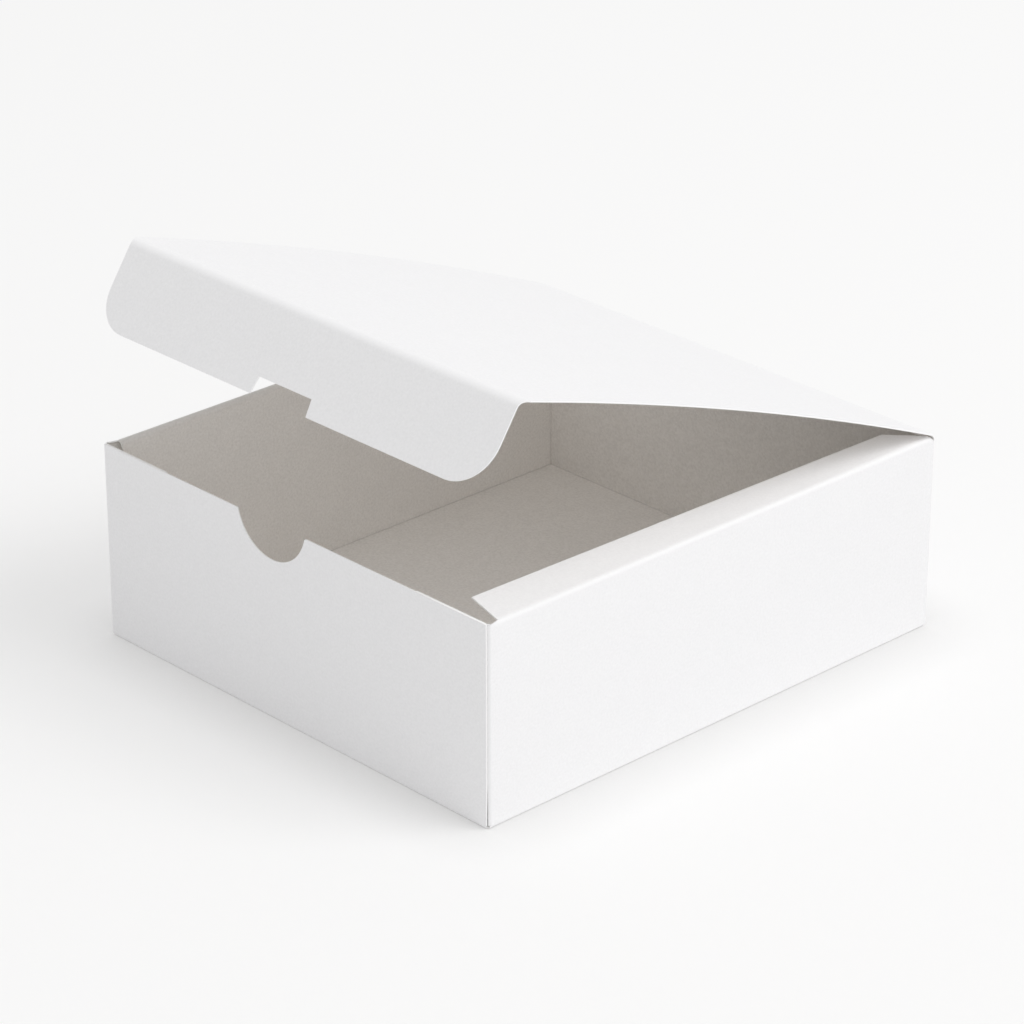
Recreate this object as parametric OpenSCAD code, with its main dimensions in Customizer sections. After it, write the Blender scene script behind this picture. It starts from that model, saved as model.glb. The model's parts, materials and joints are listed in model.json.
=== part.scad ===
// Plain white folding carton for takeaway food, with a hinged lid that tucks in at the front.
// Millimetres. The origin is the middle of the underside, X runs across the front, Y to the back.

/* [Box] */
// Outer width across the front panel
box_w = 200; // [150:1:280]
// Outer depth from the front panel to the back wall
box_d = 220; // [170:1:280]
// Outer height to the top of the walls
box_h = 76; // [55:1:120]
// Thickness of the paperboard
board = 0.6; // [0.4:0.05:0.9]
// Outer radius of the folds along the bottom and up the corners
fold_r = 1.2; // [1:0.1:1.8]
// How far a raw cut edge stops short of the wall that it meets
edge_gap = 0.15; // [0.1:0.05:0.4]

/* [Glue tabs] */
// Reach of the side walls' tabs behind the front panel
front_tab = 35; // [20:1:50]
// Reach of the back wall's tabs inside the side walls
back_tab = 32; // [20:1:50]

/* [Thumb notch] */
// Radius of the round notch in the front panel
thumb_r = 18; // [12:0.5:22]
// Depth of the notch below the panel's top edge
thumb_depth = 14; // [8:0.5:20]
// Place of the notch, from the middle of the panel
thumb_shift = -8; // [-12:0.5:12]

/* [Side flaps] */
// Width of each side flap at its front end
flap_front_w = 19; // [14:0.5:26]
// Width of each side flap near its back end
flap_back_w = 14; // [10:0.5:20]
// Outer radius of the fold along each side flap
flap_fold_r = 1.8; // [1.4:0.1:2.2]
// Distance from the front panel's face to the fold's front end
flap_front_gap = 5.8; // [5.6:0.1:9]
// How far the front end slants back across the flap
flap_front_slant = 5; // [3:0.5:10]
// Distance from the back wall's face to the fold's back end
flap_back_gap = 4; // [3.5:0.1:8]
// How far the back end slants forward across the flap
flap_back_slant = 9; // [4:0.5:14]
// How far the rolled left flap's front end slants back, to leave the tuck flap room
roll_slant = 20; // [18:1:32]

/* [Lid] */
// How far the lid reaches past each side wall
lid_overhang = 0.3; // [0:0.1:1]
// Angle at which the lid stands open
lid_open = 20; // [12:1:30]
// Angle between the lid's chord and its surface at each end, as it bows upward
lid_bow = 3.5; // [1:0.5:5]
// Height of the closed lid over the side flaps
lid_lift = 0.2; // [0.15:0.05:0.6]
// Radius of the bead that each crease of the lid turns on
crease_r = 1.2; // [1:0.1:1.6]
// Gap between a bead and the board that turns round it
crease_gap = 0.15; // [0.1:0.05:0.25]

/* [Tuck flap] */
// Height of the tuck flap, from the outside of its fold
tuck_h = 33.5; // [24:0.5:36]
// Angle that the tuck flap is bent down from the lid's chord
tuck_bend = 76; // [60:1:80]
// Distance from the front panel's face to the tuck flap's fold when the lid is closed
tuck_setback = 2.6; // [2.6:0.1:4]
// Gap between the tuck flap and each side wall's inner face
tuck_side_gap = 0.9; // [0.7:0.1:2]
// Radius of the tuck flap's two free corners
tuck_corner_r = 16; // [6:0.5:20]
// Width of the notch in the tuck flap's free edge
tuck_notch_w = 28.5; // [16:0.5:40]
// Depth of the notch in the tuck flap's free edge
tuck_notch_depth = 6.4; // [5:0.1:9]

/* [Hidden] */
white = [0.95, 0.95, 0.95];
$fn = 96;
// Facets of the very large circle that the bowed lid follows
bow_facets = 1440;
half_w = box_w / 2;
half_d = box_d / 2;
inner_half_w = half_w - board;

// The lid turns on the hinge bead, and the tuck flap on the tuck bead
hinge_y = half_d - crease_r;
hinge_z = box_h + lid_lift + board - crease_r;
tuck_y = -half_d + tuck_setback + crease_r;
chord = hinge_y - tuck_y;
bow_r = chord / 2 / sin(lid_bow);
clear_r = crease_r + crease_gap;
tuck_half_w = inner_half_w - tuck_side_gap;
lid_half_w = half_w + lid_overhang;

// Where the side flaps begin and end along the walls
flap_y0 = -half_d + flap_front_gap;
flap_y1 = half_d - flap_back_gap;

// Extrudes a side view, drawn as depth and height, from one X to another
module along_x(x0, x1) {
    translate([x0, 0, 0]) rotate([90, 0, 90]) linear_extrude(height = x1 - x0) children();
}

// Extrudes a front view, drawn as width and height, from one Y to another
module along_y(y0, y1) {
    translate([0, y1, 0]) rotate([90, 0, 0]) linear_extrude(height = y1 - y0) children();
}

// Quarter ring of board, from the +x axis to the +y axis
module quarter_fold(r) {
    difference() {
        intersection() {
            circle(r);
            square(r);
        }
        circle(r - board);
    }
}

// Bottom panel, up to the start of the folds on all four sides
module bottom_panel() {
    translate([-half_w + fold_r, -half_d + fold_r, 0]) cube([box_w - 2 * fold_r, box_d - 2 * fold_r, board]);
}

// Side view of a panel that rises from the bottom at the front, with its fold
module rising_panel(top) {
    translate([-half_d + fold_r, fold_r]) rotate(180) quarter_fold(fold_r);
    translate([-half_d, fold_r]) square([board, top - fold_r]);
}

module thumb_notch() {
    rise = thumb_r - thumb_depth;
    translate([thumb_shift, -half_d - board, box_h + rise]) rotate([-90, 0, 0]) cylinder(r = thumb_r, h = 4 * board);
}

// Front panel: its raw edges stop just inside the side walls' faces
module front_panel() {
    reach = half_w - edge_gap;
    difference() {
        along_x(-reach, reach) rising_panel(box_h);
        thumb_notch();
    }
}

// Back wall: it ends under the hinge bead
module back_wall() {
    reach = inner_half_w - fold_r;
    mirror([0, 1, 0]) along_x(-reach, reach) rising_panel(hinge_z);
}

// Plan view of the right side wall's fold and glue tab behind the front panel
module front_corner_plan() {
    translate([half_w - fold_r, -half_d + board + fold_r]) rotate(-90) quarter_fold(fold_r);
    translate([half_w - front_tab, -half_d + board]) square([front_tab - fold_r, board]);
}

// Plan view of the back wall's fold and glue tab inside the right side wall
module back_corner_plan() {
    translate([inner_half_w - fold_r, half_d - fold_r]) quarter_fold(fold_r);
    translate([inner_half_w - board, half_d - back_tab]) square([board, back_tab - fold_r]);
}

// Front view of the right side wall with its bottom fold
module side_wall_section(top) {
    translate([half_w - fold_r, fold_r]) rotate(-90) quarter_fold(fold_r);
    translate([half_w - board, fold_r]) square([board, top - fold_r]);
}

// Right side wall with its glue tab in front and the back wall's tab inside it
module side_wall() {
    front_y = -half_d + board + fold_r;
    tab_z = fold_r + edge_gap;
    along_y(front_y, half_d - edge_gap) side_wall_section(box_h - flap_fold_r);
    along_y(front_y, flap_y0 - edge_gap) side_wall_section(box_h);
    translate([0, 0, tab_z]) linear_extrude(height = box_h - tab_z) front_corner_plan();
    translate([0, 0, tab_z]) linear_extrude(height = box_h - flap_fold_r - tab_z) back_corner_plan();
}

// Outline of a side flap past its fold, with x measured from the fold
module flap_outline() {
    slant_y = flap_y1 - flap_back_slant;
    polygon([
        [0, flap_y0],
        [flap_front_w - flap_fold_r, flap_y0 + flap_front_slant],
        [flap_back_w - flap_fold_r, slant_y],
        [0, flap_y1]
    ]);
}

// Right side flap: it lies level, just under the lid
module level_flap() {
    fold_x = half_w - flap_fold_r;
    along_y(flap_y0, flap_y1) translate([fold_x, box_h - flap_fold_r]) quarter_fold(flap_fold_r);
    translate([fold_x, 0, box_h - board]) mirror([1, 0, 0]) linear_extrude(height = board) flap_outline();
}

// Outline of the rolled wall's inner layer, with x measured down from its fold
module roll_outline() {
    reach = box_h - flap_fold_r - board - edge_gap;
    roll_y1 = half_d - board - edge_gap;
    polygon([
        [0, flap_y0],
        [reach, flap_y0 + roll_slant],
        [reach, roll_y1],
        [roll_y1 - flap_y1, roll_y1],
        [0, flap_y1]
    ]);
}

// Left side flap: it is rolled right over, and its inner layer stands on the bottom panel
module rolled_flap() {
    fold_x = half_w - flap_fold_r;
    fold_z = box_h - flap_fold_r;
    along_y(flap_y0, flap_y1) translate([-fold_x, fold_z]) {
        quarter_fold(flap_fold_r);
        rotate(90) quarter_fold(flap_fold_r);
    }
    translate([-fold_x + flap_fold_r, 0, fold_z]) rotate([0, 90, 0]) mirror([0, 0, 1])
        linear_extrude(height = board) roll_outline();
}

// Space that the hinge bead turns in
module hinge_relief() {
    reach = lid_half_w + board;
    translate([-reach, hinge_y, hinge_z]) {
        rotate([0, 90, 0]) cylinder(r = clear_r, h = 2 * reach);
        cube([2 * reach, 2 * crease_r, 2 * crease_r]);
    }
}

module box_body() {
    color(white) difference() {
        union() {
            bottom_panel();
            front_panel();
            back_wall();
            side_wall();
            mirror([1, 0, 0]) side_wall();
            level_flap();
            rolled_flap();
        }
        hinge_relief();
    }
}

// Puts a side view drawn round the hinge at the angle of the open lid
module turn_with_lid() {
    translate([0, hinge_y, hinge_z]) rotate([-lid_open, 0, 0]) children();
}

// Side view of the lid's panel: an arc whose chord runs from bead to bead
module lid_arc() {
    centre_drop = bow_r * cos(lid_bow);
    outer_r = bow_r + crease_r;
    side = outer_r / cos(lid_bow);
    translate([-chord / 2, -centre_drop]) intersection() {
        difference() {
            circle(outer_r, $fn = bow_facets);
            circle(outer_r - board, $fn = bow_facets);
        }
        polygon([[0, 0], [side * sin(lid_bow), side * cos(lid_bow)], [-side * sin(lid_bow), side * cos(lid_bow)]]);
    }
}

// Lid panel with a crease bead at each end
module lid() {
    color(white) turn_with_lid() {
        along_x(-lid_half_w, lid_half_w) lid_arc();
        along_x(-lid_half_w, lid_half_w) circle(crease_r);
        along_x(-tuck_half_w, tuck_half_w) translate([-chord, 0]) circle(crease_r);
    }
}

// Outline of the tuck flap: x across the box, y down from the bead's centre
module tuck_outline() {
    straight = tuck_half_w - tuck_corner_r;
    reach = tuck_h - crease_r;
    difference() {
        union() {
            translate([-tuck_half_w, 0]) square([2 * tuck_half_w, reach - tuck_corner_r]);
            translate([-straight, 0]) square([2 * straight, reach]);
            for (side = [-1, 1]) translate([side * straight, reach - tuck_corner_r]) circle(tuck_corner_r);
        }
        translate([-tuck_notch_w / 2, reach - tuck_notch_depth]) square([tuck_notch_w, tuck_notch_depth + board]);
        translate([-tuck_half_w - board, -tuck_h]) square([2 * tuck_half_w + 2 * board, tuck_h]);
    }
}

// Tuck flap: it hangs from the tuck bead, bent down from the lid
module tuck_flap() {
    color(white) turn_with_lid() translate([0, -chord, 0]) rotate([tuck_bend, 0, 0]) difference() {
        translate([0, 0, crease_r - board]) linear_extrude(height = board) mirror([0, 1]) tuck_outline();
        translate([-half_w, 0, 0]) rotate([0, 90, 0]) cylinder(r = clear_r, h = box_w);
    }
}

box_body();
lid();
tuck_flap();
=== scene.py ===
# %% [markdown]
# A white takeaway food box, folded from one die-cut sheet of paperboard.
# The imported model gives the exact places: the tray, the lid that stands open and its tuck flap.
# This lesson folds the same sheet again with soft creases, cut edges and a paper finish, so that
# it looks like board and not like plastic. Every length is in metres, in the model's own frame.

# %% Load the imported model
import json
import math

import bmesh
import bpy
from mathutils import Matrix, Vector
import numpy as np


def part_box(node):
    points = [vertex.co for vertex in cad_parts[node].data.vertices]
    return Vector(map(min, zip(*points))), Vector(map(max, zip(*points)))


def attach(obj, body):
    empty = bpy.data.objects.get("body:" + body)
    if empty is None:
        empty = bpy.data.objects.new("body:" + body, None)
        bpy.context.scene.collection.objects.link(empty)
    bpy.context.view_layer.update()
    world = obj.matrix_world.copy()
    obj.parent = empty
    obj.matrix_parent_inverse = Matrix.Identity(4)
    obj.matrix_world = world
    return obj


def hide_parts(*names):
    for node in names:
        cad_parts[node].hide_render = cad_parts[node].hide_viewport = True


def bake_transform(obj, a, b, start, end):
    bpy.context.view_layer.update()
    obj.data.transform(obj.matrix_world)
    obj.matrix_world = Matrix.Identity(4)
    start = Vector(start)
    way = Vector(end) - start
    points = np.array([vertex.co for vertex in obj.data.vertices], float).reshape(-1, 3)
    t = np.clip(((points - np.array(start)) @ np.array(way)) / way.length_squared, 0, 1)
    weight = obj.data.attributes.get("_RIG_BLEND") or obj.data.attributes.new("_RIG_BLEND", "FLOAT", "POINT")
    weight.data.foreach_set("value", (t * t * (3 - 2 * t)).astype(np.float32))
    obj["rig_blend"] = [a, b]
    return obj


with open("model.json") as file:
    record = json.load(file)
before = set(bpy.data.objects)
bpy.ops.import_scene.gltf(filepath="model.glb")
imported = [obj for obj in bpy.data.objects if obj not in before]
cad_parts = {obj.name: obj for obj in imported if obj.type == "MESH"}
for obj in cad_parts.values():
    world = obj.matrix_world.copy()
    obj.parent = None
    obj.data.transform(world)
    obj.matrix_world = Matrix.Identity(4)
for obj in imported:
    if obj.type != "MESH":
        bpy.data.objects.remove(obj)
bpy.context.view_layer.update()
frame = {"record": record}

MM = 0.001

# %% [markdown]
# The camera comes first, because every later choice is judged through it. It looks at the box's
# front right corner from above, through a long lens, so that the walls stay nearly parallel.
# The lens is given by its field: 4000 pixels of focal length across a picture 1024 pixels wide.

# %% Camera
LOOK_AT = Vector((2.1, -5.8, 50)) * MM
LOOK_AZIMUTH = math.radians(46.44)
LOOK_DOWN = math.radians(25.03)
LOOK_DISTANCE = 1434.9 * MM
PICTURE_WIDTH = 1024
FOCAL_PIXELS = 4000


def make_camera():
    """Camera on a line through the point that it looks at."""
    data = bpy.data.cameras.new("camera")
    data.sensor_width = 36
    data.lens = FOCAL_PIXELS / PICTURE_WIDTH * data.sensor_width
    data.clip_start = 0.1
    data.clip_end = 50
    camera = bpy.data.objects.new("camera", data)
    level = math.cos(LOOK_DOWN)
    back = Vector((math.sin(LOOK_AZIMUTH) * level, -math.cos(LOOK_AZIMUTH) * level, math.sin(LOOK_DOWN)))
    camera.location = LOOK_AT + back * LOOK_DISTANCE
    camera.rotation_mode = "QUATERNION"
    camera.rotation_quaternion = (-back).to_track_quat("-Z", "Y")
    bpy.context.scene.collection.objects.link(camera)
    bpy.context.scene.camera = camera
    return camera


camera = make_camera()
print("camera at", [round(v, 3) for v in camera.location], "lens", round(camera.data.lens, 1), "mm")

# %% [markdown]
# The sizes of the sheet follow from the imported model: its walls, its hinge line and its tuck line.
# Only the board's own sizes are written here, such as its thickness and the softness of a crease.

# %% Sizes of the folded sheet
BOARD = 0.6 * MM
FOLD_R = 1.2 * MM
EDGE_GAP = 0.15 * MM
GLUE_GAP = 0.05 * MM
FLAP_FOLD_R = 1.8 * MM
CREASE_R = 1.2 * MM
LID_BOW = math.radians(3.5)
TUCK_BEND = math.radians(76)
HINGE_SOFT_R = 3.2 * MM
TUCK_SOFT_R = 4.2 * MM

X = Vector((1, 0, 0))
Y = Vector((0, 1, 0))
Z = Vector((0, 0, 1))
HALF_W, HALF_D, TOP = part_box("box_body")[1]
LID_HALF_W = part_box("lid")[1].x
TUCK_HALF_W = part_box("tuck_flap")[1].x
WALL_TOP = TOP - FLAP_FOLD_R


def joint_place(name):
    """Where a joint's axis crosses the middle of the box."""
    joint = next(j for j in frame["record"]["behaviour"]["joints"] if j["name"] == name)
    return Vector(joint["pos_m"])


HINGE = joint_place("lid_hinge")
TUCK = joint_place("tuck_fold")
chord = (TUCK - HINGE).length
lid_open = math.atan2(TUCK.z - HINGE.z, HINGE.y - TUCK.y)
print("lid chord", round(chord / MM, 2), "mm, open", round(math.degrees(lid_open), 2), "degrees")

# %% [markdown]
# The lid arches gently from its hinge to its front edge, because its tuck flap pulls on it, and
# both ends of the arch run into soft creases. Each crease touches the arch and a flat panel, so
# its centre lies where a line meets a circle. The places are worked out before anything is
# folded, because the back wall ends where the lid's crease begins.

# %% Where the lid's arch and its two creases lie
tilt = Matrix.Rotation(-lid_open, 3, "X")
bow_r = chord / 2 / math.sin(LID_BOW)
arch_centre = HINGE + tilt @ Vector((0, -chord / 2, -bow_r * math.cos(LID_BOW)))
arch_r = bow_r + CREASE_R


def on_circle(start, direction, centre, radius):
    """Where a line leaves a circle."""
    offset = start - centre
    along = offset.dot(direction)
    return start + direction * (math.sqrt(along * along - offset.dot(offset) + radius * radius) - along)


def bearing(direction):
    """A direction's angle in the side view, from the back and upwards."""
    return math.atan2(direction.z, direction.y)


hinge_centre = on_circle(Y * (HALF_D - HINGE_SOFT_R), Z, arch_centre, arch_r - HINGE_SOFT_R)
hinge_start = hinge_centre + Y * HINGE_SOFT_R
hinge_end = hinge_centre + (hinge_centre - arch_centre).normalized() * HINGE_SOFT_R

flap_down = tilt @ Matrix.Rotation(TUCK_BEND, 3, "X") @ -Y
flap_out = tilt @ Matrix.Rotation(TUCK_BEND, 3, "X") @ Z
tuck_line = TUCK + flap_out * (CREASE_R - TUCK_SOFT_R)
tuck_centre = on_circle(tuck_line, -flap_down, arch_centre, arch_r - TUCK_SOFT_R)
tuck_start = tuck_centre + (tuck_centre - arch_centre).normalized() * TUCK_SOFT_R
tuck_end = tuck_centre + flap_out * TUCK_SOFT_R
tuck_turn = bearing(flap_out) - bearing(tuck_start - tuck_centre)

print("lid's crease begins", round(hinge_start.z / MM, 2), "mm up the back wall")

# %% [markdown]
# Board is made here as it is made in the factory: a flat edge grows into a panel, and a crease
# rolls the panel's far edge round a line. A panel is an extrusion and a crease is a spin, so two
# small helpers fold the whole box. The crease also marks its faces, from 0 at both sides to 1 in
# its middle, and the board's finish reads that mark later to roughen the rolled fibres and to
# tint them: a faint grey of cracked coating on the coated face, and a dark tint on the reverse,
# which is painted shade inside the fold. The mark is on faces and not on points, because a
# bevel stretches what the points hold.

# %% Helpers that fold the sheet
FOLD_STEPS = 10
CREASE_MARK = "crease"


def far_rim(geometry):
    """The edges, among what an operator made, that join two of its new corners."""
    corners = {part for part in geometry if isinstance(part, bmesh.types.BMVert)}
    edges = [part for part in geometry if isinstance(part, bmesh.types.BMEdge)]
    return [edge for edge in edges if corners.issuperset(edge.verts)]


def rim_corners(rim):
    """Every corner of a rim, once."""
    return list({corner for edge in rim for corner in edge.verts})


def new_sheet(first, last):
    """Starts a sheet as one straight edge and returns it with that edge."""
    sheet = bmesh.new()
    sheet.faces.layers.float.new(CREASE_MARK)
    ends = [bmesh.ops.create_vert(sheet, co=place)["vert"][0] for place in (first, last)]
    return sheet, [sheet.edges.new(ends)]


def mark_strip(sheet, rim, value):
    """Marks the faces that end at a rim, from 0 to 1, for crushed fibres and for the crease tint, which on
    the reverse is painted shade.
    """
    mark = sheet.faces.layers.float[CREASE_MARK]
    for edge in rim:
        for face in edge.link_faces:
            face[mark] = value


def panel(sheet, rim, travel):
    """Grows a flat panel from a rim and returns the panel's far rim."""
    grown = bmesh.ops.extrude_edge_only(sheet, edges=rim)["geom"]
    corners = [part for part in grown if isinstance(part, bmesh.types.BMVert)]
    bmesh.ops.translate(sheet, verts=corners, vec=travel)
    rim = far_rim(grown)
    mark_strip(sheet, rim, 0)
    return rim


def crease(sheet, rim, pivot, axis, turn, begin=0.0, end=1.0, steps=FOLD_STEPS, crease_mark_strength=1.0):
    """Rolls a rim round a line, from one share of the crease to another, and returns the far rim."""
    step_turn = turn * (end - begin) / steps
    for step in range(steps):
        start = rim + rim_corners(rim)
        rolled = bmesh.ops.spin(sheet, geom=start, cent=pivot, axis=axis, angle=step_turn, steps=1)
        rim = far_rim(rolled["geom_last"])
        share = begin + (end - begin) * (step + 0.5) / steps
        mark_strip(sheet, rim, crease_mark_strength * math.sin(math.pi * share))
    return rim


def shift(sheet, corner, travel):
    """Moves one corner of the sheet."""
    bmesh.ops.translate(sheet, verts=[corner], vec=travel)


def split_edge(sheet, edge, places):
    """Cuts a straight edge at places given in order, and returns its pieces in that order."""
    start = edge.verts[0]
    if (places[0] - start.co).length > (places[0] - edge.verts[1].co).length:
        start = edge.verts[1]
    pieces = []
    for place in places:
        share = (place - start.co).length / edge.calc_length()
        piece, corner = bmesh.utils.edge_split(edge, start, share)
        pieces.append(piece)
        edge = next(e for e in corner.link_edges if e is not piece and len(e.link_faces) < 2)
        start = corner
    return pieces + [edge]


print("a crease has", FOLD_STEPS, "steps")

# %% [markdown]
# The finishes come before the pieces that wear them. Shader maths is easiest to read as ordinary
# sums, so one small class wraps a node socket and overloads the operators.

# %% A small language for shader maths
class Socket:
    """A node's output that can be used in sums, with other outputs or with plain numbers."""

    def __init__(self, tree, link):
        self.tree = tree
        self.link = link

    def maths(self, operation, *others):
        values = [self, *others]
        return node(self.tree, "ShaderNodeMath", {"operation": operation}, dict(enumerate(values)))

    def __add__(self, other):
        return self.maths("ADD", other)

    __radd__ = __add__

    def __mul__(self, other):
        return self.maths("MULTIPLY", other)

    __rmul__ = __mul__

    def __sub__(self, other):
        return self.maths("SUBTRACT", other)

    def __rsub__(self, other):
        return self.maths("MULTIPLY", -1) + other


def node(tree, kind, settings, inputs, output=0):
    """Makes a node: its settings first, then its inputs, as numbers, colours or links."""
    made = tree.nodes.new(kind)
    for name, value in settings.items():
        setattr(made, name, value)
    for name, value in inputs.items():
        if isinstance(value, Socket):
            tree.links.new(value.link, made.inputs[name])
        else:
            made.inputs[name].default_value = value
    return Socket(tree, made.outputs[output])


def mix_colours(tree, factor, first, second):
    """Blends two colours by a factor."""
    settings = {"data_type": "RGBA", "blend_type": "MIX"}
    return node(tree, "ShaderNodeMix", settings, {"Factor": factor, 6: first, 7: second}, 2)


def noise(tree, place, grain, detail=2.0):
    """Soft noise whose grains are about as large as the given length."""
    inputs = {"Vector": place, "Scale": 1 / grain, "Detail": detail, "Roughness": 0.55}
    return node(tree, "ShaderNodeTexNoise", {}, inputs)


print("shader helpers ready")

# %% [markdown]
# Folding boxboard has three looks. Its coated face is a clean white with a very fine mottle. Its
# reverse is uncoated, a little warmer and rougher. Its cut edge shows the loose white fibres of
# the core and catches the light. All three share one recipe and differ in their numbers.

# %% Board finishes
SPECK_SIZE = 0.9 * MM
CLOUD_SIZE = 9 * MM
FIBRE_SIZE = 0.22 * MM
CLOUD_SHARE = 0.12
CREASE_CRACK_AND_SHADE_SHARE = 0.6
ROUGH_SPREAD = 0.18
CRUSHED_ROUGHER = 0.08
FIBRE_SHARE = 0.6


def board_finish(name, light, dark, rough, fibre_depth, crease_crack_and_shade_tint, grain):
    """Paperboard: two tones mixed by fine mottle, fibres as bump, and rougher, tinted fibres on a crease; a
    dark crease tint is painted shade.
    """
    material = bpy.data.materials.new(name)
    material.use_nodes = True
    tree = material.node_tree
    shader = tree.nodes["Principled BSDF"]
    place = node(tree, "ShaderNodeTexCoord", {}, {}, "Object")
    rolled = node(tree, "ShaderNodeAttribute", {"attribute_name": CREASE_MARK}, {}, "Fac")
    speck = noise(tree, place, SPECK_SIZE)
    cloud = noise(tree, place, CLOUD_SIZE, detail=3)
    mottle = speck * (1 - CLOUD_SHARE) + cloud * CLOUD_SHARE
    tone = mix_colours(tree, (mottle - 0.5) * grain + 0.5, (*dark, 1), (*light, 1))
    # On a crease the tone moves towards the crease tint: a faint grey of cracked coating on the coated face,
    # painted shade in the fold on the reverse.
    tone = mix_colours(tree, rolled * CREASE_CRACK_AND_SHADE_SHARE, tone, (*crease_crack_and_shade_tint, 1))
    tree.links.new(tone.link, shader.inputs["Base Color"])
    gloss = (mottle - 0.5) * ROUGH_SPREAD + rolled * CRUSHED_ROUGHER + rough
    tree.links.new(gloss.link, shader.inputs["Roughness"])
    fibre = noise(tree, place, FIBRE_SIZE, detail=3)
    height = fibre * FIBRE_SHARE + speck * (1 - FIBRE_SHARE)
    settings = {"Strength": 0.35, "Distance": fibre_depth, "Height": height}
    bump = node(tree, "ShaderNodeBump", {}, settings)
    tree.links.new(bump.link, shader.inputs["Normal"])
    shader.inputs["Specular IOR Level"].default_value = 0.3
    return material


coated_face = board_finish(
    "board_coated", light=(0.967, 0.963, 0.970), dark=(0.880, 0.876, 0.883), rough=0.55,
    fibre_depth=0.03 * MM, crease_crack_and_shade_tint=(0.93, 0.926, 0.933), grain=1.5,
)
# The reverse's dark crease tint is painted shade along the inside of every crease and on the left flap's
# roll.
plain_side = board_finish(
    "board_reverse", light=(0.975, 0.958, 0.938), dark=(0.850, 0.833, 0.812), rough=0.75,
    fibre_depth=0.05 * MM, crease_crack_and_shade_tint=(0.62, 0.60, 0.58), grain=2.7,
)
cut_edge = board_finish(
    "board_cut_edge", light=(0.985, 0.985, 0.985), dark=(0.955, 0.955, 0.955), rough=0.85,
    fibre_depth=0.08 * MM, crease_crack_and_shade_tint=(0.98, 0.98, 0.98), grain=1,
)
print("finishes", [m.name for m in (coated_face, plain_side, cut_edge)])

# %% [markdown]
# A finished sheet gets its thickness from a Solidify modifier, which gives the reverse side and
# the cut edge their own finishes. A narrow Bevel then takes the razor sharpness off each edge, as
# a cutting die does.

# %% Turn a folded surface into board
BEVEL = 0.18 * MM
BEVEL_SEGMENTS = 3
BEVEL_FROM = math.radians(40)
FINISHES = (coated_face, plain_side, cut_edge)
REVERSE = FINISHES.index(plain_side)
CUT = FINISHES.index(cut_edge)


def make_board(name, sheet, outward):
    """Makes a board piece of a folded surface, with its largest panel facing outward."""
    bmesh.ops.recalc_face_normals(sheet, faces=sheet.faces)
    largest = max(sheet.faces, key=lambda face: face.calc_area())
    if largest.normal.dot(outward) < 0:
        bmesh.ops.reverse_faces(sheet, faces=sheet.faces)
    for face in sheet.faces:
        face.smooth = True
    mesh = bpy.data.meshes.new(name)
    sheet.to_mesh(mesh)
    sheet.free()
    piece = bpy.data.objects.new(name, mesh)
    for finish in FINISHES:
        mesh.materials.append(finish)
    bpy.context.scene.collection.objects.link(piece)
    thick = piece.modifiers.new("board", "SOLIDIFY")
    thick.thickness = BOARD
    thick.offset = -1
    thick.use_even_offset = True
    thick.material_offset = REVERSE
    thick.material_offset_rim = CUT
    soft = piece.modifiers.new("soft_edges", "BEVEL")
    soft.width = BEVEL
    soft.segments = BEVEL_SEGMENTS
    soft.limit_method = "ANGLE"
    soft.angle_limit = BEVEL_FROM
    soft.use_clamp_overlap = False
    soft.harden_normals = True
    print(name, len(mesh.polygons), "faces before its thickness")
    return piece


# %% [markdown]
# The tray starts as its bottom panel. Each side of that panel rolls up through a crease into a
# wall. The front panel has a round thumb notch, a little left of its middle, with one corner
# crisp and the other slightly round.

# %% Tray: bottom and front
QUARTER = math.pi / 2
THUMB_R = 18 * MM
THUMB_DEPTH = 14 * MM
THUMB_SHIFT = -8 * MM
THUMB_STEPS = 28
THUMB_CORNER = 0.9 * MM
THUMB_CORNER_STEPS = 4
FRONT_INSET = 0.7 * MM


def side_edge(sheet, direction):
    """The edge of the bottom panel that lies furthest in a direction."""
    return max(sheet.edges, key=lambda edge: (edge.verts[0].co + edge.verts[1].co).dot(direction))


def end_corner(rim, direction):
    """The corner of a rim that lies furthest in a direction."""
    return max(rim_corners(rim), key=lambda corner: corner.co.dot(direction))


def bottom_panel():
    """The bottom, out to the start of its four creases."""
    sheet = bmesh.new()
    sheet.faces.layers.float.new(CREASE_MARK)
    bmesh.ops.create_grid(sheet, x_segments=1, y_segments=1, size=1)
    reach = Vector((HALF_W - FOLD_R, HALF_D - FOLD_R, 1))
    bmesh.ops.scale(sheet, vec=reach, verts=sheet.verts)
    return sheet


def thumb_notch(sheet, rim):
    """Dips the middle of the front panel's top edge into a round notch."""
    rise = THUMB_R - THUMB_DEPTH
    centre = Vector((THUMB_SHIFT, -HALF_D, TOP + rise))
    half_mouth = math.acos(rise / THUMB_R)
    angles = [half_mouth * (2 * step / THUMB_STEPS - 1) for step in range(THUMB_STEPS + 1)]
    mouth = [Vector((centre.x + THUMB_R * math.sin(a), -HALF_D, TOP)) for a in angles]
    pieces = split_edge(sheet, rim[0], mouth)
    corners = sorted(set(rim_corners(pieces)), key=lambda corner: corner.co.x)[1:-1]
    for corner, angle in zip(corners, angles):
        corner.co.z = centre.z - THUMB_R * math.cos(angle)
    bmesh.ops.bevel(
        sheet, geom=[corners[-1]], offset=THUMB_CORNER, offset_type="OFFSET",
        segments=THUMB_CORNER_STEPS, profile=0.5, affect="VERTICES", material=-1,
    )


def front_wall(sheet, edge):
    """Front panel, whose raw ends stop short of the side walls' faces and leave a thin groove."""
    pivot = Vector((0, -HALF_D + FOLD_R, FOLD_R))
    rim = crease(sheet, [edge], pivot, X, -QUARTER)
    widen = FOLD_R - FRONT_INSET
    shift(sheet, end_corner(rim, X), X * widen)
    shift(sheet, end_corner(rim, -X), -X * widen)
    top = panel(sheet, rim, Z * (TOP - FOLD_R))
    thumb_notch(sheet, top)


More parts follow.
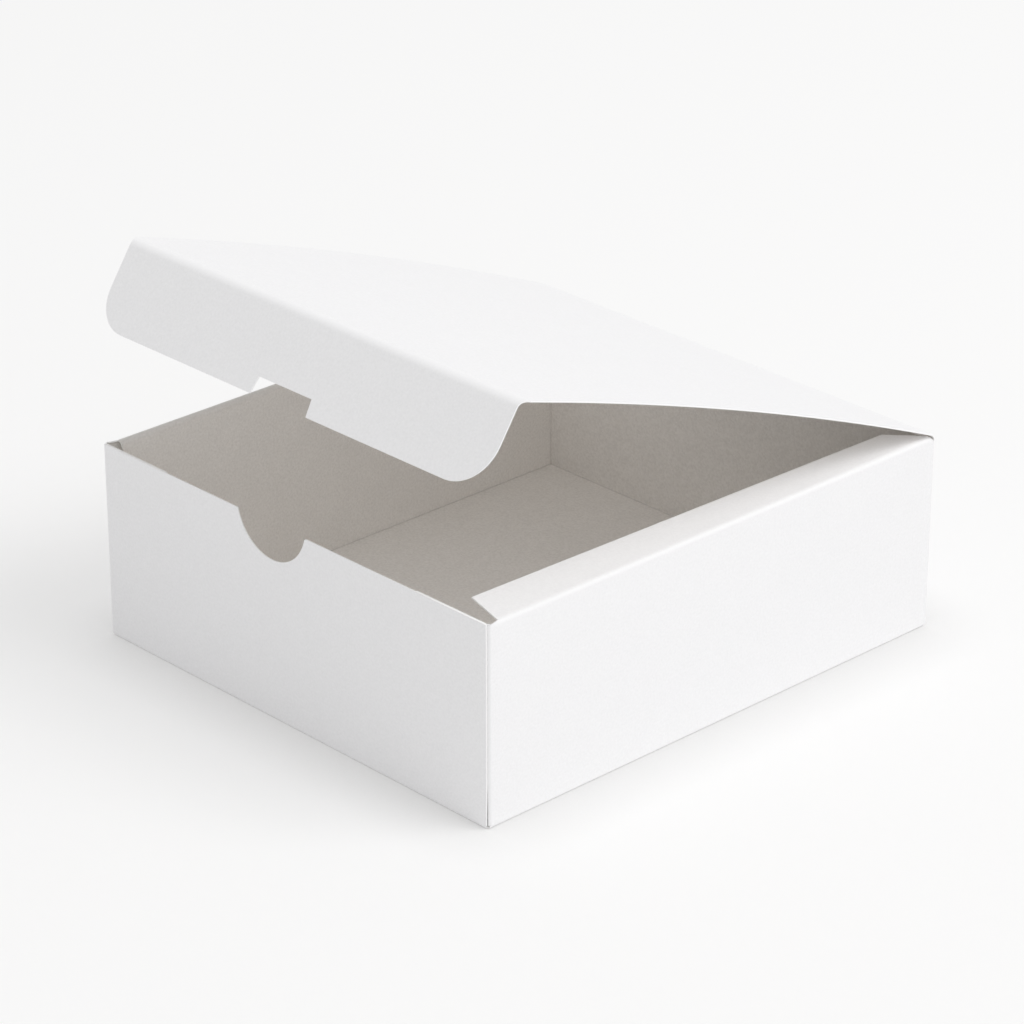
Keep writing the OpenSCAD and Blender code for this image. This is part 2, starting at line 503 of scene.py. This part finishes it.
# %% [markdown]
# A side wall's top rolls over into a flap: the right one lies level just under the lid, and the
# left one is rolled right over, so that its inner layer stands on the bottom and hides a glue
# tab. Each flap goes on from the part of the roll that runs along the whole wall.

# %% Tray: the flaps on the side walls
FLAP_FRONT_W = 19 * MM
FLAP_BACK_W = 14 * MM
FLAP_FRONT_GAP = 5.8 * MM
FLAP_FRONT_SLANT = 5 * MM
FLAP_BACK_GAP = 2 * MM
FLAP_BACK_SLANT = 11 * MM
CREST_TURN = math.radians(71)
CREST_SINK = 0.55
TINY = 0.01 * MM
ROLL_SLANT = 20 * MM
flap_y0 = -HALF_D + FLAP_FRONT_GAP
flap_y1 = HALF_D - FLAP_BACK_GAP


def roll_on(sheet, rim, side, whole, begin):
    """Rolls a flap's rim from a share of its fold to the fold's end."""
    pivot = Vector((side * (HALF_W - FLAP_FOLD_R), 0, WALL_TOP))
    return crease(sheet, rim, pivot, Y, -side * whole, begin)


def level_flap(sheet, rim, side):
    """Flap that rolls a quarter turn and lies level, narrower towards the back."""
    rim = roll_on(sheet, rim, side, QUARTER, CREST_TURN / QUARTER)
    rim = panel(sheet, rim, -X * side * (FLAP_FRONT_W - FLAP_FOLD_R))
    shift(sheet, end_corner(rim, -Y), Y * FLAP_FRONT_SLANT)
    shift(sheet, end_corner(rim, Y), X * side * (FLAP_FRONT_W - FLAP_BACK_W) - Y * FLAP_BACK_SLANT)


def rolled_flap(sheet, rim, side):
    """Flap that rolls a half turn down to the bottom; its roll and inner layer wear the reverse, whose dark
    crease tint paints shade on the roll.
    """
    rim = roll_on(sheet, rim, side, 2 * QUARTER, CREST_TURN / QUARTER / 2)
    reach = WALL_TOP - BOARD - EDGE_GAP
    shoulder = HALF_D - BOARD - EDGE_GAP - flap_y1
    rim = panel(sheet, rim, -Z * shoulder)
    shift(sheet, end_corner(rim, Y), Y * shoulder)
    shift(sheet, end_corner(rim, -Y), Y * ROLL_SLANT * shoulder / reach)
    rim = panel(sheet, rim, -Z * (reach - shoulder))
    shift(sheet, end_corner(rim, -Y), Y * ROLL_SLANT * (1 - shoulder / reach))
    crest_x = HALF_W - FLAP_FOLD_R * (1 - math.cos(CREST_TURN))
    # The roll's inward half and the inner layer take the reverse finish; on the roll its dark crease tint is
    # painted shade.
    for face in sheet.faces:
        middle = face.calc_center_median()
        if HALF_W - 2 * FLAP_FOLD_R - EDGE_GAP < side * middle.x < crest_x and middle.z > FOLD_R:
            face.material_index = REVERSE


print("side flaps run from", round(flap_y0 / MM, 1), "to", round(flap_y1 / MM, 1), "mm")

# %% [markdown]
# The side wall itself rolls up from the bottom panel. Its front end turns the corner and runs on
# behind the front panel as a glue tab. The first part of the roll on its top is made for the
# whole wall, and both its ends run out into the corners.

# %% Tray: side walls
FRONT_TAB = 35 * MM
BACK_TAB = 32 * MM
TAB_SLANT = 3 * MM


def glue_tab(sheet, rim, travel):
    """A tab whose bottom slants up towards its free end."""
    rim = panel(sheet, rim, travel)
    shift(sheet, end_corner(rim, -Z), Z * TAB_SLANT)


def edges_between(rim, low_y, high_y):
    """The edges of a rim that lie between two places along the box's depth."""
    return [e for e in rim if all(low_y - TINY < v.co.y < high_y + TINY for v in e.verts)]


def open_upright_edges(sheet, x, y):
    """The edges on one upright line that belong to a single face."""
    line = Vector((x, y))
    return [
        edge for edge in sheet.edges
        if len(edge.link_faces) == 1 and all((v.co.xy - line).length < EDGE_GAP for v in edge.verts)
    ]


def wall_crest(sheet, rim, side, front_y, back_y):
    """Rolls a wall's top over along its whole length, with both ends run out into the corners."""
    pivot = Vector((side * (HALF_W - FLAP_FOLD_R), 0, WALL_TOP))
    rim = crease(sheet, rim, pivot, Y, -side * CREST_TURN)
    for corner in sheet.verts:
        rise = corner.co.z - WALL_TOP
        if rise > TINY and side * corner.co.x > HALF_W - FLAP_FOLD_R:
            if abs(corner.co.y - front_y) < TINY:
                corner.co.x = side * HALF_W
            if abs(corner.co.y - back_y) < TINY:
                corner.co.z = WALL_TOP + rise * CREST_SINK
                corner.co.y -= BOARD
    return rim


def side_wall(sheet, edge, side, add_flap):
    """Side wall with its glue tab behind the front panel and its flap on top."""
    pivot = Vector((side * (HALF_W - FOLD_R), 0, FOLD_R))
    rim = crease(sheet, [edge], pivot, Y, -side * QUARTER)
    shift(sheet, end_corner(rim, -Y), Y * (BOARD + GLUE_GAP))
    shift(sheet, end_corner(rim, Y), Y * (FOLD_R - EDGE_GAP))
    front_corner = end_corner(rim, -Y)
    rim = panel(sheet, rim, Z * (WALL_TOP - FOLD_R))
    wall_x = side * HALF_W
    stops = [Vector((wall_x, y, WALL_TOP)) for y in (flap_y0, flap_y1)]
    pieces = split_edge(sheet, rim[0], stops)
    crest = wall_crest(sheet, pieces, side, front_corner.co.y, HALF_D - EDGE_GAP)
    add_flap(sheet, edges_between(crest, flap_y0, flap_y1), side)
    front_edges = open_upright_edges(sheet, wall_x, front_corner.co.y)
    pivot = Vector((side * (HALF_W - FOLD_R), -HALF_D + BOARD + GLUE_GAP + FOLD_R, 0))
    turned = crease(sheet, front_edges, pivot, Z, -side * QUARTER)
    glue_tab(sheet, turned, -X * side * (FRONT_TAB - FOLD_R))


# %% [markdown]
# The back wall carries a glue tab at each end, folded forward inside the side walls. It stops at
# the line where the lid's crease starts, and the lid's own piece goes on from there.

# %% Tray: back wall, and the whole tray
def back_wall(sheet, edge):
    """Back wall with a glue tab inside each side wall."""
    pivot = Vector((0, HALF_D - FOLD_R, FOLD_R))
    rim = crease(sheet, [edge], pivot, X, QUARTER)
    inset = BOARD + GLUE_GAP
    shift(sheet, end_corner(rim, X), -X * inset)
    shift(sheet, end_corner(rim, -X), X * inset)
    base = {side: end_corner(rim, X * side) for side in (-1, 1)}
    panel(sheet, rim, Z * (hinge_start.z - FOLD_R))
    for side, corner in base.items():
        upright = max(corner.link_edges, key=lambda edge: edge.other_vert(corner).co.z)
        pivot = Vector((side * (HALF_W - FOLD_R - inset), HALF_D - FOLD_R, 0))
        turned = crease(sheet, [upright], pivot, Z, -side * QUARTER)
        glue_tab(sheet, turned, -Y * (BACK_TAB - FOLD_R))


def make_tray():
    """The whole tray, folded up from its bottom panel."""
    sheet = bottom_panel()
    front, right, back, left = [side_edge(sheet, way) for way in (-Y, X, Y, -X)]
    front_wall(sheet, front)
    side_wall(sheet, right, 1, level_flap)
    side_wall(sheet, left, -1, rolled_flap)
    back_wall(sheet, back)
    return make_board("tray", sheet, -Z)


tray = make_tray()
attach(tray, "box")
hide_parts("box_body")

# %% [markdown]
# The lid grows out of the back wall through its soft crease and runs along its arch to the front
# edge. The arch is a spin about a far centre. The piece bends between the tray and the lid: its
# first points stay on the wall.

# %% Lid
LID_STEPS = 28


def make_lid():
    """Lid from the back wall's crease to the front crease."""
    sheet, rim = new_sheet(hinge_start - X * LID_HALF_W, hinge_start + X * LID_HALF_W)
    rim = crease(sheet, rim, hinge_centre, X, bearing(hinge_end - hinge_centre))
    arch_turn = bearing(tuck_start - arch_centre) - bearing(hinge_end - arch_centre)
    crease(sheet, rim, arch_centre, X, arch_turn, steps=LID_STEPS, crease_mark_strength=0)
    return make_board("lid_panel", sheet, Z)


lid_panel = make_lid()
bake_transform(lid_panel, "box", "lid", start=hinge_start, end=hinge_end)
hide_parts("lid")

# %% [markdown]
# The tuck flap turns down over the lid's front crease. It has two round free corners, which let
# it slide in between the walls, and a square notch in the middle of its free edge.

# %% Tuck flap
TUCK_H = 33.5 * MM
TUCK_LEFT_R = 14 * MM
TUCK_RIGHT_R = 17 * MM
TUCK_NOTCH_W = 28.5 * MM
TUCK_NOTCH_DEPTH = 6.4 * MM
TUCK_NOTCH_DRAFT = 0.8 * MM
CORNER_STEPS = 14


def narrow_crease(sheet):
    """Draws the sheet's sides in from the lid's width to the flap's, quickly at first."""
    for corner in sheet.verts:
        turned = bearing(corner.co - tuck_centre) - bearing(tuck_start - tuck_centre)
        left = 1 - turned / tuck_turn
        half = TUCK_HALF_W + (LID_HALF_W - TUCK_HALF_W) * left * left
        corner.co.x = math.copysign(half, corner.co.x)


def make_tuck_flap():
    """Tuck flap from the lid's front crease to its notched free edge."""
    sheet, rim = new_sheet(tuck_start - X * LID_HALF_W, tuck_start + X * LID_HALF_W)
    rim = crease(sheet, rim, tuck_centre, X, tuck_turn)
    narrow_crease(sheet)
    reach = TUCK_H - CREASE_R - (tuck_end - TUCK).dot(flap_down)
    rim = panel(sheet, rim, flap_down * reach)
    corners = [end_corner(rim, -X), end_corner(rim, X)]
    half_notch = TUCK_NOTCH_W / 2
    middle = tuck_end + flap_down * reach
    half_floor = half_notch - TUCK_NOTCH_DRAFT
    places = [middle + X * x for x in (-half_notch, -half_floor, half_floor, half_notch)]
    pieces = split_edge(sheet, rim[0], places)
    inner = [c for c in rim_corners(pieces) if abs(c.co.x) < half_notch - TUCK_NOTCH_DRAFT / 2]
    bmesh.ops.translate(sheet, verts=inner, vec=-flap_down * TUCK_NOTCH_DEPTH)
    for corner, radius in zip(corners, (TUCK_LEFT_R, TUCK_RIGHT_R)):
        bmesh.ops.bevel(
            sheet, geom=[corner], offset=radius, offset_type="OFFSET",
            segments=CORNER_STEPS, profile=0.5, affect="VERTICES", material=-1,
        )
    return make_board("tuck_panel", sheet, flap_out)


tuck_panel = make_tuck_flap()
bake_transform(tuck_panel, "lid", "tuck", start=tuck_start, end=tuck_end)
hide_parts("tuck_flap")

# %% [markdown]
# The studio is a pale floor that runs out of the picture, one large soft lamp high on the right
# and behind, and an even sky for the rest. The floor shows near white to the camera, yet keeps
# the box's shadow and gives the walls only a natural amount of bounced light. Its share of plain
# glow softens the far shadow, and a painted contact shadow darkens it a little where the box
# stands close. Light bounces a dozen times, because the white inside of a box is lit mostly by
# light from its own walls.

# %% Floor, light and picture
SKY = 0.70
FLOOR_HALF = 6.0
CONTACT_REACH = 30 * MM
CONTACT_SAMPLES = 4
FLOOR_SEEN = (0.955, 0.953, 0.951, 1)
FLOOR_PAINTED_CONTACT_SHADE = (0.68, 0.675, 0.67, 1)
FLOOR_BOUNCED = (0.88, 0.88, 0.88, 1)
FLOOR_GLOW = 0.35
SKY_SEEN = 0.95
KEY_DIRECTION = Vector((0.5, 0.3, 0.8)).normalized()
KEY_DISTANCE = 5.0
KEY_SIZE = 3.2
KEY_POWER = 101
BOUNCES = 12


def make_floor():
    """A wide pale floor, which isn't part of the box."""
    sheet = bmesh.new()
    bmesh.ops.create_grid(sheet, x_segments=1, y_segments=1, size=FLOOR_HALF)
    mesh = bpy.data.meshes.new("floor")
    sheet.to_mesh(mesh)
    sheet.free()
    floor = bpy.data.objects.new("floor", mesh)
    bpy.context.scene.collection.objects.link(floor)
    material = bpy.data.materials.new("floor")
    material.use_nodes = True
    tree = material.node_tree
    tree.nodes.remove(tree.nodes["Principled BSDF"])
    settings = {"samples": CONTACT_SAMPLES}
    # An ambient occlusion node paints a contact shadow into the floor's colour where the box stands close.
    nearby = node(tree, "ShaderNodeAmbientOcclusion", settings, {"Distance": CONTACT_REACH}, "AO")
    shaded = mix_colours(tree, nearby, FLOOR_PAINTED_CONTACT_SHADE, FLOOR_SEEN)
    matt = node(tree, "ShaderNodeBsdfDiffuse", {}, {"Color": shaded})
    glow = node(tree, "ShaderNodeEmission", {}, {"Color": shaded, "Strength": 1})
    seen = node(tree, "ShaderNodeMixShader", {}, {0: FLOOR_GLOW, 1: matt, 2: glow})
    bounced = node(tree, "ShaderNodeBsdfDiffuse", {}, {"Color": FLOOR_BOUNCED})
    by_camera = node(tree, "ShaderNodeLightPath", {}, {}, "Is Camera Ray")
    both = node(tree, "ShaderNodeMixShader", {}, {0: by_camera, 1: bounced, 2: seen})
    tree.links.new(both.link, tree.nodes["Material Output"].inputs["Surface"])
    mesh.materials.append(material)


def make_sky():
    """An even sky: the camera sees it white, and the box is lit by its plain level."""
    world = bpy.data.worlds.new("sky")
    bpy.context.scene.world = world
    world.use_nodes = True
    tree = world.node_tree
    background = tree.nodes["Background"]
    background.inputs["Color"].default_value = (1, 1, 1, 1)
    by_camera = node(tree, "ShaderNodeLightPath", {}, {}, "Is Camera Ray")
    strength = by_camera * (SKY_SEEN - SKY) + SKY
    tree.links.new(strength.link, background.inputs["Strength"])


def make_lamp(name, place, size, power):
    """A square area lamp that faces the box."""
    data = bpy.data.lights.new(name, "AREA")
    data.shape = "SQUARE"
    data.size = size
    data.energy = power
    lamp = bpy.data.objects.new(name, data)
    lamp.location = place
    lamp.rotation_mode = "QUATERNION"
    lamp.rotation_quaternion = (-Vector(place)).to_track_quat("-Z", "Y")
    bpy.context.scene.collection.objects.link(lamp)
    return lamp


make_floor()
make_sky()
key_lamp = make_lamp("key_lamp", KEY_DIRECTION * KEY_DISTANCE, KEY_SIZE, KEY_POWER)
bpy.context.scene.view_settings.view_transform = "Standard"
bpy.context.scene.cycles.diffuse_bounces = BOUNCES
print("lamp at", [round(v, 2) for v in key_lamp.location], "m, with the floor and the sky")
